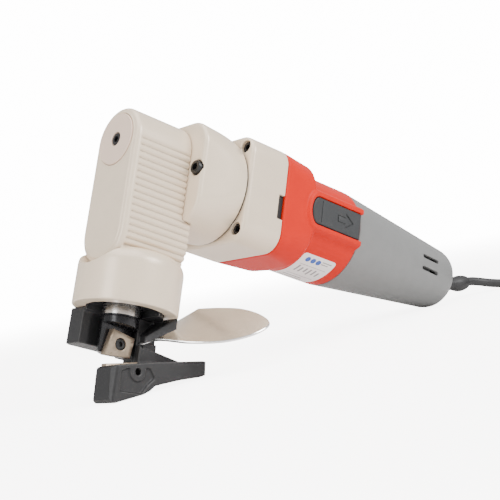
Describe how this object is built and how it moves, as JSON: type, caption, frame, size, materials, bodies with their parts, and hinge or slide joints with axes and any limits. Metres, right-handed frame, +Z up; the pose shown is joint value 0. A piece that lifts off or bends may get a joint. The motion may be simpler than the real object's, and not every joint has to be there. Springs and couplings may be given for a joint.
{
  "type": "electric sheet metal shear",
  "caption": "Hand-held electric sheet-metal shear: barrel motor housing, gear case, right-angle cast head, reciprocating blade above a lower jaw, deflector plate, mains lead.",
  "frame": {"origin": "bottom centre of the tool's bounding box, without the mains lead, in the pose in which it stands on its lower jaw and its tail", "axes": "+X along the tool from tail to head, level; +Y towards the side that carries the slide switch; +Z up"},
  "size_m": [0.474, 0.1296, 0.1576],
  "materials": {
    "cast_paint": "fine-textured warm light grey powder coat on cast aluminium",
    "black_screw": "black oxide on socket-head screws",
    "black_steel": "black oxide with a ground bright band where it runs in the head",
    "blade_steel": "ground tool steel with a warm bronze tint",
    "cast_black": "black oxide on a steel casting, fine cast texture",
    "bright_steel": "polished bare steel",
    "orange_plastic": "orange-red moulded nylon, finely grained",
    "grey_plastic": "mid-grey moulded nylon, finely grained",
    "slate_plastic": "dark slate moulded nylon",
    "core_steel": "varnished laminated iron",
    "copper": "enamelled copper",
    "brass": "plain brass",
    "carbon": "dull graphite",
    "black_rubber": "matt black rubber"
  },
  "bodies": {
    "tool": {"head_housing": "cast_paint", "front_cap": "cast_paint", "front_cap_screw": "black_screw", "yoke": "cast_black", "deflector_plate": "bright_steel", "lower_blade": "blade_steel", "lower_blade_screw": "black_screw", "neck_housing": "cast_paint", "neck_screw_near": "black_screw", "neck_screw_far": "black_screw", "neck_gasket": "black_rubber", "gear_case": "cast_paint", "case_screw_near_top": "black_screw", "case_screw_near_low": "black_screw", "case_screw_far_top": "black_screw", "case_screw_far_low": "black_screw", "crank_front_bearing": "bright_steel", "front_motor_bearing": "bright_steel", "rear_motor_bearing": "bright_steel", "stator_core": "core_steel", "field_coil_top": "copper", "field_coil_low": "copper", "brush_holder_near": "brass", "carbon_brush_near": "carbon", "brush_holder_far": "brass", "carbon_brush_far": "carbon", "motor_housing": "orange_plastic", "rear_housing": "grey_plastic", "cord_clamp": "slate_plastic", "bearing_bracket": "slate_plastic", "power_switch": "slate_plastic", "strain_relief": "black_rubber", "power_cord": "black_rubber", "cord_coil": "black_rubber", "cord_tie": "black_rubber", "mains_plug": "black_rubber", "plug_pin_left": "bright_steel", "plug_pin_right": "bright_steel"},
    "armature": {"armature_shaft": "bright_steel", "armature_core": "core_steel", "commutator": "copper", "cooling_fan": "slate_plastic", "motor_pinion": "bright_steel"},
    "countershaft": {"intermediate_gear": "bright_steel", "intermediate_shaft": "bright_steel"},
    "crank": {"output_gear": "bright_steel", "eccentric_shaft": "bright_steel", "eccentric_bearing": "bright_steel"},
    "ram": {"ram": "black_steel", "upper_blade": "blade_steel", "upper_blade_screw": "black_screw"},
    "slider": {"switch_slider": "slate_plastic"}
  },
  "joints": [
    {"name": "armature_spin", "type": "hinge", "parent": "tool", "child": "armature", "pos_m": [-0.04788, -0.0086, 0.06253], "axis": [0.9153, 0, 0.4027], "continuous": true},
    {"name": "countershaft_spin", "type": "hinge", "parent": "tool", "child": "countershaft", "pos_m": [0.03933, -0.0086, 0.08779], "axis": [0.9153, 0, 0.4027], "continuous": true},
    {"name": "crank_spin", "type": "hinge", "parent": "tool", "child": "crank", "pos_m": [0.0489, -0.0086, 0.11571], "axis": [0.9153, 0, 0.4027], "continuous": true},
    {"name": "ram_slide", "type": "slide", "parent": "tool", "child": "ram", "axis": [-0.4027, 0, 0.9153], "range_m": [-0.003, 0.003]},
    {"name": "switch_slide", "type": "slide", "parent": "tool", "child": "slider", "axis": [-0.9153, 0, -0.4027], "range_m": [0, 0.005]}
  ],
  "couplings": [
    {"joint": "countershaft_spin", "follows": "armature_spin", "ratio": -0.42857},
    {"joint": "crank_spin", "follows": "armature_spin", "ratio": 0.14732}
  ]
}
